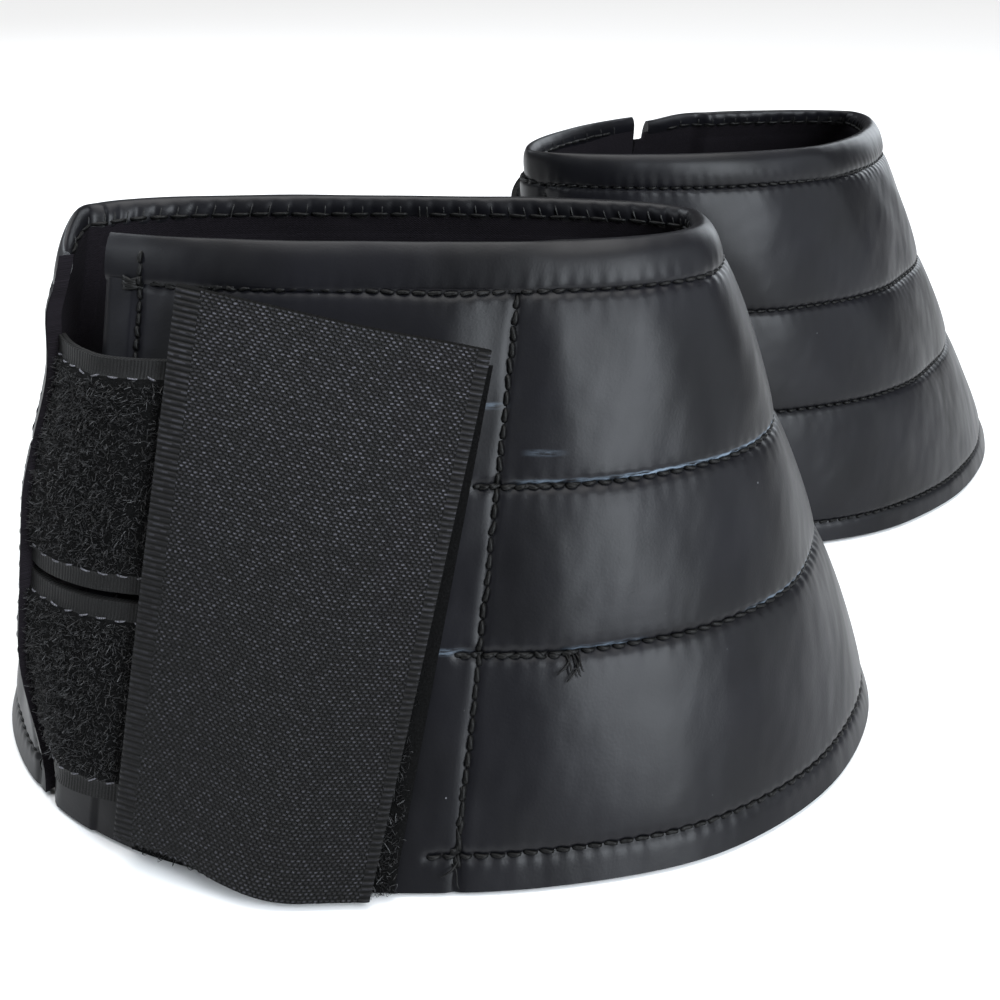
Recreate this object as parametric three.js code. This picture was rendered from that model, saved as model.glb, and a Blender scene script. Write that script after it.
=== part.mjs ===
// A pair of quilted bell boots, the flared overreach boots that wrap a horse's front hooves.
// Millimetres, +Z up. Each boot is one long wall that closes on itself with hook-and-loop tape.
// The front boot stands with its closure towards -Y, the rear boot with its closure turned away.
import * as THREE from "three";

// Wall heights, from the ground.
const WALL_TOP = 125.5;
const COLLAR_FOOT = 125.8;
const COLLAR_TOP = 135;
const LOWER_QUILT = 48;
const UPPER_QUILT = 83;
const HEM_ROW = 7;
const FOAM_FOOT = 10;
const LINING_FOOT = 1;
const COLLAR_ROW = 124.4;

// Layers, as distances outwards from the face of the outer shell.
const SHELL = [-1.4, 0];
const FOAM = [-5.4, -1.7];
const LINING_PADDED = [-7.2, -5.7];
const LINING_FLAT = [-3.2, -1.7];
const COLLAR_PADDED = [-7.2, 0.8];
const COLLAR_FLAT = [-3.2, 0.8];
const THREAD = [0.45, 1];
const THREAD_OVER = [1.3, 1.9]; // a row that crosses other rows
const LOOP_PANEL = [0.5, 2];
const STRAP_HOOK = [2.5, 3.7];
const STRAP_LOOP = [4, 5.3];
const STRAP_THREAD = [5.6, 6.1];
const STRAP_ROOT_DROP = 7.6; // the straps start on the inner face of the wing
const FLAP = [6.9, 8.5];
const FLAP_ROOT_DROP = 3.9; // the flap comes down to the loop panel where it is sewn on

// Stations along the closure zone, in millimetres from the free end of the main wall.
const CLOSURE_WIDTH = 104;
const CELL = 4; // the closure zone is built in cells of this width, so that its layers nest
const PANEL = { from: 24, to: 88, foot: 1.2, head: 109 };
const FLAP_EDGE = {
  free: 24,
  sewnFoot: 85,
  sewnHead: 99,
  footFree: 7,
  footSewn: 1,
  headFree: 127,
  headSewn: 113,
};
const STRAP_TIP = 52;
const STRAP_ROW = 4; // from a strap's edge to its row of stitches
const STRAPS = [
  { name: "upper", foot: 57.5, head: 109 },
  { name: "lower", foot: 12, head: 55.5 },
];
const END_ROW = 10.5;
const WING_END_ROW = 4; // this one is measured back from the wing's free end
const ROW_CLEARANCE = 2; // where one row of stitches stops short of another
const QUILT_START = 98;
const HEM_START = 96.5;
const WING_FLAT_END = 22; // unpadded end of the wing
const ROW = 0.45; // half the height of a row of stitches
const JOINT_GAP = 0.3; // half the gap between the main wall and the wing

const leatherette = new THREE.MeshStandardMaterial({ color: 0x2a2b2e, roughness: 0.45, metalness: 0 });
const jersey = new THREE.MeshStandardMaterial({ color: 0x1d1b20, roughness: 0.95, metalness: 0 });
const foamRubber = new THREE.MeshStandardMaterial({ color: 0x33343a, roughness: 0.9, metalness: 0 });
const loopPile = new THREE.MeshStandardMaterial({ color: 0x1b1b1d, roughness: 1, metalness: 0 });
const wovenTape = new THREE.MeshStandardMaterial({ color: 0x24252a, roughness: 0.7, metalness: 0 });
const thread = new THREE.MeshStandardMaterial({ color: 0x0c0c0e, roughness: 0.6, metalness: 0 });

// An outline of the wall is a flattened oval, deeper at its front than at its back. Distances
// round it run anticlockwise from its start angle.
class Oval {
  constructor({ width, front, back, square, turn, x, y }, startAngle) {
    const steps = 720;
    const power = 2 / square;
    const start = THREE.MathUtils.degToRad(startAngle);
    const centre = new THREE.Vector2(x, y);
    const bend = (share, size) => size * Math.sign(share) * Math.abs(share) ** power;
    this.points = Array.from({ length: steps + 1 }, (_, i) => {
      const angle = start + (2 * Math.PI * i) / steps;
      const side = Math.sin(angle);
      return new THREE.Vector2(bend(Math.cos(angle), width), bend(side, side < 0 ? front : back))
        .rotateAround(new THREE.Vector2(), THREE.MathUtils.degToRad(turn))
        .add(centre);
    });
    this.lengths = [0];
    for (let i = 1; i <= steps; i++)
      this.lengths.push(this.lengths[i - 1] + this.points[i].distanceTo(this.points[i - 1]));
    this.round = this.lengths[steps];
  }

  at(distance) {
    const wrapped = ((distance % this.round) + this.round) % this.round;
    const i = this.lengths.findIndex((length) => length > wrapped);
    const a = this.points[i - 1];
    const b = this.points[i];
    const share = (wrapped - this.lengths[i - 1]) / (this.lengths[i] - this.lengths[i - 1]);
    const tangent = b.clone().sub(a).normalize();
    return { place: a.clone().lerp(b, share), outwards: new THREE.Vector2(tangent.y, -tangent.x) };
  }
}

// The wall runs straight up from the foot outline to the rim outline.
class Wall {
  constructor({ base, rim, endAngle, splitShare, throat }) {
    this.foot = new Oval(base, endAngle);
    this.rim = new Oval(rim, endAngle);
    this.splitShare = splitShare;
    this.throat = (z) => THREE.MathUtils.lerp(throat.foot, throat.rim, z / COLLAR_TOP);
  }

  round(z) {
    return THREE.MathUtils.lerp(this.foot.round, this.rim.round, z / COLLAR_TOP);
  }

  // A point of the wall, given by its station round the wall, its height and its depth.
  point(station, z, depth) {
    const foot = this.foot.at(station(0, z));
    const rim = this.rim.at(station(COLLAR_TOP, z));
    const t = z / COLLAR_TOP;
    const outwards = foot.outwards.lerp(rim.outwards, t).normalize();
    const p = foot.place.lerp(rim.place, t).addScaledVector(outwards, depth);
    return new THREE.Vector3(p.x, p.y, z);
  }

  // Distances round the wall of the places where its parts meet.
  split(z) {
    return this.round(z) * this.splitShare;
  }

  wingEnd(z) {
    return this.round(z) - this.throat(z);
  }
}

// A station gives a distance round the wall, from the height of the outline that it is measured on
// and, where an edge slants, from the height of the point.
const fixed = (distance) => () => distance;
const between = (from, to, share) => (outline, z) =>
  THREE.MathUtils.lerp(from(outline, z), to(outline, z), share);

function stations(from, to, count) {
  return Array.from({ length: count + 1 }, (_, i) => between(from, to, i / count));
}

function cells(from, to) {
  return stations(fixed(from), fixed(to), (to - from) / CELL);
}

// A band of the wall: a box bent so that its length runs through the stations, its height through
// the levels and its thickness between two depths. Levels and depths may vary along the band.
function band(wall, along, levels, depths) {
  const levelsAt = typeof levels === "function" ? levels : () => levels;
  const depthsAt = typeof depths === "function" ? depths : () => depths;
  const rows = levelsAt(0).length - 1;
  const spans = along.length - 1;
  const geometry = new THREE.BoxGeometry(1, 1, 1, spans, rows, 1);
  const position = geometry.attributes.position;
  for (let i = 0; i < position.count; i++) {
    const station = Math.round((position.getX(i) + 0.5) * spans);
    const row = Math.round((position.getY(i) + 0.5) * rows);
    const z = levelsAt(station)[row];
    const depth = depthsAt(station)[position.getZ(i) < 0 ? 0 : 1];
    const p = wall.point(along[station], z, depth);
    position.setXYZ(i, p.x, p.y, p.z);
  }
  // The inner face gets its diagonals the same way as the outer one, so layers stay parallel.
  const { start, count } = geometry.groups[5];
  for (let i = start; i < start + count; i += 6) {
    const [a, b, d, , c] = geometry.index.array.slice(i, i + 5);
    geometry.index.array.set([a, b, c, a, c, d], i);
  }
  geometry.computeVertexNormals();
  return geometry;
}

function mesh(name, geometry, material) {
  const made = new THREE.Mesh(geometry, material);
  made.name = name;
  return made;
}

const WALL_LEVELS = [0, FOAM_FOOT, LOWER_QUILT, UPPER_QUILT, WALL_TOP];
const FOAM_LEVELS = WALL_LEVELS.slice(1);
const LINING_LEVELS = [LINING_FOOT, ...FOAM_LEVELS];
const COLLAR_LEVELS = [COLLAR_FOOT, COLLAR_TOP];
const ROW_LEVELS = [2, ...FOAM_LEVELS]; // levels of an upright row of stitches
const row = (z) => [z - ROW, z + ROW];
const upright = (distance) => [distance - ROW, distance + ROW].map(fixed);

// The main wall: the long padded part with the flat closure zone at its free end.
function mainWall(boot, wall) {
  const split = (z) => wall.split(z) - JOINT_GAP;
  const zone = cells(0, CLOSURE_WIDTH);
  const padded = stations(fixed(CLOSURE_WIDTH), split, 20).slice(1);
  const whole = [...zone, ...padded];
  const flat = zone.length;
  const lining = (i) => (i < flat ? LINING_FLAT : LINING_PADDED);
  const collar = (i) => (i < flat ? COLLAR_FLAT : COLLAR_PADDED);
  const from = (start) => [fixed(start), fixed(CLOSURE_WIDTH), ...padded];
  const panelLevels = [PANEL.foot, FOAM_FOOT, LOWER_QUILT, UPPER_QUILT, PANEL.head];
  const collarStart = END_ROW + ROW_CLEARANCE;
  const collarRow = [fixed(collarStart), ...zone.slice(Math.ceil(collarStart / CELL)), ...padded];
  return [
    mesh(`${boot}_shell_main`, band(wall, whole, WALL_LEVELS, SHELL), leatherette),
    mesh(`${boot}_foam_main`, band(wall, padded, FOAM_LEVELS, FOAM), foamRubber),
    mesh(`${boot}_lining_main`, band(wall, whole, LINING_LEVELS, lining), jersey),
    mesh(`${boot}_collar_main`, band(wall, whole, COLLAR_LEVELS, collar), leatherette),
    mesh(`${boot}_loop_panel`, band(wall, cells(PANEL.from, PANEL.to), panelLevels, LOOP_PANEL), loopPile),
    mesh(`${boot}_collar_seam_main`, band(wall, collarRow, row(COLLAR_ROW), THREAD), thread),
    mesh(`${boot}_upper_quilt_main`, band(wall, from(QUILT_START), row(UPPER_QUILT), THREAD), thread),
    mesh(`${boot}_lower_quilt_main`, band(wall, from(QUILT_START), row(LOWER_QUILT), THREAD), thread),
    mesh(`${boot}_hem_seam_main`, band(wall, from(HEM_START), row(HEM_ROW), THREAD), thread),
    mesh(`${boot}_closure_seam`, band(wall, upright(CLOSURE_WIDTH), ROW_LEVELS, THREAD_OVER), thread),
    mesh(`${boot}_end_seam_main`, band(wall, upright(END_ROW), ROW_LEVELS, THREAD), thread),
  ];
}

// The wing: the shorter part that swings open at the back and carries the straps.
function wing(boot, wall) {
  const split = (z) => wall.split(z) + JOINT_GAP;
  const end = (z) => wall.wingEnd(z);
  const padEnd = (z) => wall.wingEnd(z) - WING_FLAT_END;
  const padded = stations(split, padEnd, 14);
  const tail = stations(padEnd, end, 2).slice(1);
  const whole = [...padded, ...tail];
  const flat = padded.length - 1;
  const lining = (i) => (i < flat ? LINING_PADDED : LINING_FLAT);
  const collar = (i) => (i < flat ? COLLAR_PADDED : COLLAR_FLAT);
  const endRow = (offset) => (z) => wall.wingEnd(z) - WING_END_ROW + offset;
  const rows = [...whole.slice(0, -1), endRow(-ROW_CLEARANCE)];
  return [
    mesh(`${boot}_shell_wing`, band(wall, whole, WALL_LEVELS, SHELL), leatherette),
    mesh(`${boot}_foam_wing`, band(wall, padded.slice(0, -1), FOAM_LEVELS, FOAM), foamRubber),
    mesh(`${boot}_lining_wing`, band(wall, whole, LINING_LEVELS, lining), jersey),
    mesh(`${boot}_collar_wing`, band(wall, whole, COLLAR_LEVELS, collar), leatherette),
    mesh(`${boot}_collar_seam_wing`, band(wall, rows, row(COLLAR_ROW), THREAD), thread),
    mesh(`${boot}_upper_quilt_wing`, band(wall, rows, row(UPPER_QUILT), THREAD), thread),
    mesh(`${boot}_lower_quilt_wing`, band(wall, rows, row(LOWER_QUILT), THREAD), thread),
    mesh(`${boot}_hem_seam_wing`, band(wall, rows, row(HEM_ROW), THREAD), thread),
    mesh(`${boot}_end_seam_wing`, band(wall, [endRow(-ROW), endRow(ROW)], ROW_LEVELS, THREAD), thread),
  ];
}

// Each strap is loop tape sewn back to back with hook tape. It leaves the inner face of the wing,
// crosses the throat and lies over the end of the main wall.
function straps(boot, wall) {
  const root = (outline) => 2 * JOINT_GAP - wall.throat(outline);
  const crossing = stations(root, fixed(0), 3).slice(0, -1);
  const along = [...crossing, ...cells(0, STRAP_TIP)];
  const drop = (i) => {
    const share = Math.max(0, 1 - i / crossing.length);
    return STRAP_ROOT_DROP * share * share * (3 - 2 * share);
  };
  const layer = (depths) => (i) => depths.map((depth) => depth - drop(i));
  return STRAPS.flatMap(({ name, foot, head }) => {
    const middle = (foot + head) / 2;
    const levels = [foot, middle, head];
    const tape = (depths) => band(wall, along, levels, depths);
    const stitches = (z) => band(wall, along, row(z), layer(STRAP_THREAD));
    return [
      mesh(`${boot}_${name}_strap_loop`, tape(layer(STRAP_LOOP)), loopPile),
      mesh(`${boot}_${name}_strap_hook`, tape(layer(STRAP_HOOK)), wovenTape),
      mesh(`${boot}_${name}_strap_top_row`, stitches(head - STRAP_ROW), thread),
      mesh(`${boot}_${name}_strap_foot_row`, stitches(foot + STRAP_ROW), thread),
    ];
  });
}

// The wide hook flap: sewn down along its right selvedge, it covers the straps.
function flap(boot, wall) {
  const { free, sewnFoot, sewnHead, footFree, footSewn, headFree, headSewn } = FLAP_EDGE;
  const sewn = (_, z) => THREE.MathUtils.mapLinear(z, footSewn, headSewn, sewnFoot, sewnHead);
  const spans = 16;
  const along = stations(fixed(free), sewn, spans);
  const levels = (i) => {
    const foot = THREE.MathUtils.lerp(footFree, footSewn, i / spans);
    const head = THREE.MathUtils.lerp(headFree, headSewn, i / spans);
    return [foot, FOAM_FOOT, LOWER_QUILT, UPPER_QUILT, head];
  };
  const depths = (i) => {
    const share = THREE.MathUtils.smoothstep(i / spans, 0.5, 1);
    return FLAP.map((depth) => depth - FLAP_ROOT_DROP * share);
  };
  return [mesh(`${boot}_hook_flap`, band(wall, along, levels, depths), wovenTape)];
}

function bellBoot(boot, shape, place) {
  const wall = new Wall(shape);
  const group = new THREE.Group();
  group.add(...mainWall(boot, wall), ...wing(boot, wall), ...straps(boot, wall), ...flap(boot, wall));
  group.position.set(place.x, place.y, 0);
  return group;
}

const BASE = { width: 127, front: 112, back: 56, square: 2.2, x: 0, y: 0 };

const pair = new THREE.Group();
pair.add(
  bellBoot(
    "front",
    {
      base: { ...BASE, turn: 0 },
      rim: { width: 85, front: 36, back: 25, square: 2.9, turn: -2.5, x: -13, y: -2.5 },
      endAngle: 226,
      splitShare: 0.66,
      throat: { foot: 13, rim: 20 },
    },
    { x: 0, y: 0 },
  ),
  bellBoot(
    "rear",
    {
      base: { ...BASE, turn: 61 },
      rim: { width: 85, front: 54, back: 42, square: 1.55, turn: 37, x: -21.5, y: -48 },
      endAngle: 92,
      splitShare: 0.66,
      throat: { foot: 8, rim: 8 },
    },
    { x: 116, y: 197 },
  ),
);

// The origin is the middle of the pair's footprint, on the ground.
const footprint = new THREE.Box3().setFromObject(pair);
const middle = footprint.getCenter(new THREE.Vector3());
pair.position.set(-middle.x, -middle.y, -footprint.min.z);

export default pair;
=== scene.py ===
# A pair of quilted bell boots, the flared overreach boots that close round a horse's front hooves.
# Each boot is one long padded wall, shut by two straps under a wide hook flap. Lengths are worked
# out in millimetres and turned into the frame's metres where a point gets its place.
import math

import bpy
import numpy as np
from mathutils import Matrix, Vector


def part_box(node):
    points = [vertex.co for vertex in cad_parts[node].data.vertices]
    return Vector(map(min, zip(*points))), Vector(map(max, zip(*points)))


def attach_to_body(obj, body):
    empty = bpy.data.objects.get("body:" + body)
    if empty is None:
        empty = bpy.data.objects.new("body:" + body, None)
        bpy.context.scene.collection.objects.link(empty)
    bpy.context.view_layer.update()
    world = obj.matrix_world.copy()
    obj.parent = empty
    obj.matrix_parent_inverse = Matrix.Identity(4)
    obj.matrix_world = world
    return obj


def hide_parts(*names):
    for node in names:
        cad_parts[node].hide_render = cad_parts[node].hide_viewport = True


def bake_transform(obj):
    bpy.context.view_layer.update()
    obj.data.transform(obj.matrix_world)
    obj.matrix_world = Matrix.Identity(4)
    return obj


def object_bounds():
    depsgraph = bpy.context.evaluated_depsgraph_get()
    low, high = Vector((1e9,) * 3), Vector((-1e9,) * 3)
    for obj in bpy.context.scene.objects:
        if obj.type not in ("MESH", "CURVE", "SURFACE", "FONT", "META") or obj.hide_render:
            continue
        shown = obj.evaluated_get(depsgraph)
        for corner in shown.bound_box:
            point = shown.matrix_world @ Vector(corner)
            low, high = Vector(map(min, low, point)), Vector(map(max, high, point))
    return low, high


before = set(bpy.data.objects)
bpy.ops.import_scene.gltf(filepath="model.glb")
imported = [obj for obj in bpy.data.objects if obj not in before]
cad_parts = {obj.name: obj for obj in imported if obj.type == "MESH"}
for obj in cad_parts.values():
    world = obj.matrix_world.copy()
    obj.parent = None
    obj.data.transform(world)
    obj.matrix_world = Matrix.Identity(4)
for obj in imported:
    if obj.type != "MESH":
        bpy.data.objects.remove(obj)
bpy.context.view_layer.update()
mm = 0.001


# --- The form of a boot -----------------------------------------------------------------------
# The wall is cut from one curved band. It stands on a wide egg-shaped foot and runs straight up
# to a smaller rim, flat for the width of the closure and padded everywhere else.
COLLAR_TOP = 135
FOOT = dict(width=127, front=112, back=56, square=2.2, x=0, y=0)
CLOSURE = 104  # width of the flat zone at the free end of the main wall
WING_TAIL = 22  # width of the flat end of the wing
SPLIT_SHARE = 0.66  # how far round the wing starts
BEND = 8  # the wall bends over this distance on each side of the split
SEAM_HALF = 0.45  # half the width of the seam beside the closure
SEAM_HEIGHTS = [2, 10, 48, 83, 125.5]
SEAM_DEPTHS = [1.3, 1.9]  # its inner and its outer face


class Outline:
    """A flattened oval, deeper at its front. Distances run round it anticlockwise from start."""

    def __init__(self, start, width, front, back, square, turn, x, y):
        angle = np.radians(start) + np.linspace(0, 2 * np.pi, 1441)
        side = np.sin(angle)
        depth = np.where(side < 0, front, back)
        along = width * np.sign(np.cos(angle)) * np.abs(np.cos(angle)) ** (2 / square)
        across = depth * np.sign(side) * np.abs(side) ** (2 / square)
        cos, sin = math.cos(math.radians(turn)), math.sin(math.radians(turn))
        self.x = x + along * cos - across * sin
        self.y = y + along * sin + across * cos
        self.length = np.append(0, np.cumsum(np.hypot(np.diff(self.x), np.diff(self.y))))
        self.round = self.length[-1]

    def place(self, distance):
        d = np.mod(distance, self.round)
        return np.stack([np.interp(d, self.length, self.x), np.interp(d, self.length, self.y)], -1)

    def outwards(self, distance):
        ahead = self.place(distance + 1) - self.place(distance - 1)
        return np.stack([ahead[..., 1], -ahead[..., 0]], -1)


def ease(value, low, high):
    """0 below low, 1 above high, and a smooth rise between them."""
    t = np.clip((value - low) / (high - low), 0, 1)
    return t * t * (3 - 2 * t)


class Boot:
    """One boot's form. A station is a distance round the foot from the free end of the main wall."""

    def __init__(self, name, foot_turn, rim, start, throat, curl):
        self.name, self.curl = name, curl
        self.foot = Outline(start, turn=foot_turn, **FOOT)
        self.rim = Outline(start, **rim)
        rounds = np.array([self.foot.round, self.rim.round])
        throats = np.array(throat)
        ends = rounds - throats
        self.marks = np.stack(
            [-throats, [0, 0], [CLOSURE] * 2, rounds * SPLIT_SHARE, ends - WING_TAIL, ends, rounds]
        )
        self.throat = throat[0]
        self.split, self.tail, self.end = self.marks[3:6, 0]
        self.origin = np.zeros(3)
        # The frame holds the closure seam's box: its lowest corner gives the boot's place.
        seam_sides = [[CLOSURE - SEAM_HALF], [CLOSURE + SEAM_HALF]]
        faces = [self.point(seam_sides, SEAM_HEIGHTS, depth) for depth in SEAM_DEPTHS]
        own_corner = np.min([face.min((0, 1)) for face in faces], axis=0)
        self.origin = np.array(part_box(f"{name}_closure_seam")[0]) - own_corner

    def along(self, station, z):
        """The distance round the wall at height z, where a station is the distance round the foot."""
        station, z = np.broadcast_arrays(np.asarray(station, float), np.asarray(z, float))
        rim = np.interp(station, *self.marks.T)
        return station + (rim - station) * z / COLLAR_TOP

    def out(self, station, z):
        """The horizontal direction that leads straight out of the wall."""
        t = (np.asarray(z, float) / COLLAR_TOP)[..., None]
        rim = self.along(station, COLLAR_TOP)
        way = self.foot.outwards(station) * (1 - t) + self.rim.outwards(rim) * t
        return way / np.linalg.norm(way, axis=-1, keepdims=True)

    def point(self, station, z, depth):
        """The place, in metres, at a station, a height and a depth outwards from the wall's face."""
        station, z, depth = np.broadcast_arrays(*(np.asarray(v, float) for v in (station, z, depth)))
        station = station - self.reach(station, z)
        z = z - self.droop(station, z)
        t = (z / COLLAR_TOP)[..., None]
        rim = self.along(station, COLLAR_TOP)
        flat = self.foot.place(station) * (1 - t) + self.rim.place(rim) * t
        flat = flat + self.out(station, z) * depth[..., None]
        return np.concatenate([flat, z[..., None]], -1) * mm + self.origin

    def padded(self, station):
        """How thick the padding is, from 0 in the closure and the wing's tail to 1."""
        return ease(station, CLOSURE - 3, CLOSURE + 24) * (1 - ease(station, self.tail - 12, self.tail))

    def flare(self, station, z):
        """How far the end of the wing curls outwards: most in the loose corner above the straps."""
        near = ease(station, self.end - 32, self.end + 2) ** 1.3
        side = 8.5 * ease(z, 0, 40) * (1 - ease(z, 70, 114))
        ear = 3.5 * np.exp(-(((z - 114) / 12) ** 2)) * ease(station, self.end - 20, self.end + 1)
        return self.curl * (side * near + ear)

    def reach(self, station, z):
        """How much further the free end of the main wall reaches at its foot, under the straps."""
        return 9 * self.curl * (1 - ease(z, 7, 13)) * (1 - ease(station, 0, 9)) * (station >= 0)

    def droop(self, station, z):
        """How far the loose corner at the top of the wing hangs down."""
        corner = 7 * self.curl * ease(station, self.end - 22, self.end) ** 1.5
        lap = 5 * (1 - self.curl) * ease(station, self.end, self.end + 2)
        return (corner + lap) * ease(z, 108, COLLAR_TOP)


boots = [
    Boot(
        "front",
        foot_turn=0,
        rim=dict(width=85, front=36, back=25, square=2.9, turn=-2.5, x=-13, y=-2.5),
        start=226,
        throat=(13, 20),  # at the foot and at the rim
        curl=1,
    ),
    Boot(
        "rear",
        foot_turn=61,
        rim=dict(width=85, front=54, back=42, square=1.55, turn=37, x=-21.5, y=-48),
        start=92,
        throat=(8, 8),
        curl=0.3,
    ),
]
chance = np.random.default_rng(7)


# --- Leatherette shell -------------------------------------------------------------------------
# The outer face is PVC-coated knit, cut in one piece and quilted through the foam by two rows.
# It swells between the rows, and each needle hole pulls a small dimple into it.
HEM_ROW, LOWER_QUILT, UPPER_QUILT, COLLAR_ROW = 7, 48, 83, 124.4
WALL_TOP = 125.5
ROWS = {HEM_ROW: 96.5, LOWER_QUILT: 98, UPPER_QUILT: 98, COLLAR_ROW: 12.5}  # height: first station
PITCH = 4  # from one needle hole to the next
END_ROW = 10.5  # the upright row at the turned end of the main wall
WING_END_ROW = 4  # the one on the wing, counted from its end
SWELL = 1.7
SHELL_THICK = 1.4
MIDDLE = 60  # about half-way up the wall


def channels(z):
    """The swell of the padding between the rows, from 0 on a row to 1 between two."""
    heights = np.array(sorted(ROWS))
    low = np.clip(np.searchsorted(heights, z, side="right") - 1, 0, len(heights) - 2)
    t = np.clip((z - heights[low]) / (heights[low + 1] - heights[low]), 0, 1)
    return (4 * t * (1 - t)) ** 0.6


def waves(station, z):
    """The slow unevenness of soft padding, in millimetres."""
    return (
        0.30 * np.sin(station / 23 + z / 31)
        + 0.22 * np.sin(station / 13 - z / 17 + 1.3)
        + 0.12 * np.sin(station / 7.3 + z / 9.1 + 4)
    )


def needle_pull(boot, station, z):
    """How far the rows of stitches pull the shell in."""
    pull = 0
    for row, first in ROWS.items():
        sewn = ease(station, first - 1, first + 1)
        hole = 0.5 + 0.5 * np.cos(2 * np.pi * boot.along(station, row) / PITCH)
        off = z - row
        line = 0.75 * np.exp(-((off / 0.95) ** 2)) + 0.5 * hole * np.exp(-((off / 1.8) ** 2))
        pull = pull + sewn * line
    hole = 0.5 + 0.5 * np.cos(2 * np.pi * z / PITCH)
    for row, foot in ((CLOSURE, 0), (END_ROW, 14), (boot.end - WING_END_ROW, 0)):
        off = station - row
        line = 0.55 * np.exp(-((off / 0.9) ** 2)) + 0.4 * hole * np.exp(-((off / 1.8) ** 2))
        pull = pull + line * ease(z, foot - 1, foot + 1)
    return pull


def shell_depth(boot, station, z):
    """How far the shell's face stands out of the wall's."""
    swell = boot.padded(station) * (SWELL * channels(z) + waves(station, z))
    turned_edge = 0.6 * (1 - ease(station, END_ROW - 1.5, END_ROW - 0.5))
    turned_edge = turned_edge - 1.2 * (1 - ease(station, 0, 2))
    flat = (1 - boot.padded(station)) * 0.5 * waves(station, z) * ease(station, 0, 15)
    # Beside the flap the shell stands off its lining a little.
    flat = flat + 2.2 * ease(station, 60, 88) * (1 - ease(station, 88, CLOSURE)) * ease(z, 86, 112)
    return swell + flat + turned_edge - needle_pull(boot, station, z) + boot.flare(station, z)


def close_rows(heights, low, high, gap=3.5):
    """Heights from low to high, close together beside each row and wider apart between rows."""
    near = np.array([0, 0.4, 0.8, 1.3, 1.9, 2.7])
    beside = [row + side * near for row in heights for side in (-1, 1)]
    grid = np.concatenate([np.arange(low, high, gap), [high], *beside])
    grid = np.unique(np.round(grid[(grid >= low) & (grid <= high)], 3))
    return grid[np.append(True, np.diff(grid) > 0.3)]


def grid_faces(index):
    corners = [index[:-1, :-1], index[:-1, 1:], index[1:, 1:], index[1:, :-1]]
    return np.stack(corners, -1).reshape(-1, 4)


def make_piece(name, points, faces, cut, material, sharp=50):
    """A mesh object. cut holds each point's place on the flat cut piece, in metres."""
    mesh = bpy.data.meshes.new(name)
    mesh.vertices.add(len(points))
    mesh.vertices.foreach_set("co", points.astype(np.float32).ravel())
    mesh.loops.add(faces.size)
    mesh.loops.foreach_set("vertex_index", faces.astype(np.int32).ravel())
    mesh.polygons.add(len(faces))
    mesh.polygons.foreach_set("loop_start", np.arange(0, faces.size, 4, dtype=np.int32))
    mesh.update(calc_edges=True)
    layer = mesh.uv_layers.new(name="cut")
    layer.data.foreach_set("uv", cut[faces.ravel()].astype(np.float32).ravel())
    mesh.materials.append(material)
    mesh.shade_smooth()
    mesh.set_sharp_from_angle(angle=math.radians(sharp))
    made = bpy.data.objects.new(name, mesh)
    bpy.context.scene.collection.objects.link(made)
    return made


def sheet_piece(name, outer, inner, cut, material, sharp=50):
    """A closed sheet: an outer and an inner grid of points, joined all round their edges."""
    index = np.arange(outer.shape[0] * outer.shape[1]).reshape(outer.shape[:2])
    edge = np.concatenate([index[0], index[1:, -1], index[-1, -2::-1], index[-2:0:-1, 0]])
    following = np.roll(edge, -1)
    sides = np.stack([edge, edge + index.size, following + index.size, following], -1)
    faces = np.concatenate([grid_faces(index), grid_faces(index + index.size)[:, ::-1], sides])
    points = np.concatenate([outer.reshape(-1, 3), inner.reshape(-1, 3)])
    flat = np.concatenate([cut.reshape(-1, 2)] * 2)
    return make_piece(name, points, faces, flat, material, sharp)


class Wire:
    """One value or colour on its way through a material's nodes."""

    def __init__(self, finish, socket):
        self.finish, self.socket = finish, socket

    def math(self, operation, *values):
        return self.finish.node("ShaderNodeMath", {"operation": operation}, dict(enumerate(values)))

    def __add__(self, other):
        return self.math("ADD", self, other)

    def __sub__(self, other):
        return self.math("SUBTRACT", self, other)

    def __rsub__(self, other):
        return self.math("SUBTRACT", other, self)

    def __mul__(self, other):
        return self.math("MULTIPLY", self, other)

    def __truediv__(self, other):
        return self.math("DIVIDE", self, other)

    __radd__, __rmul__ = __add__, __mul__

    def call(self, operation, *values):
        return self.math(operation, self, *values)

    def rise(self, low, high):
        """0 below low, 1 above high."""
        settings = {"interpolation_type": "SMOOTHSTEP"}
        return self.finish.node("ShaderNodeMapRange", settings, {0: self, 1: low, 2: high})


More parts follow.
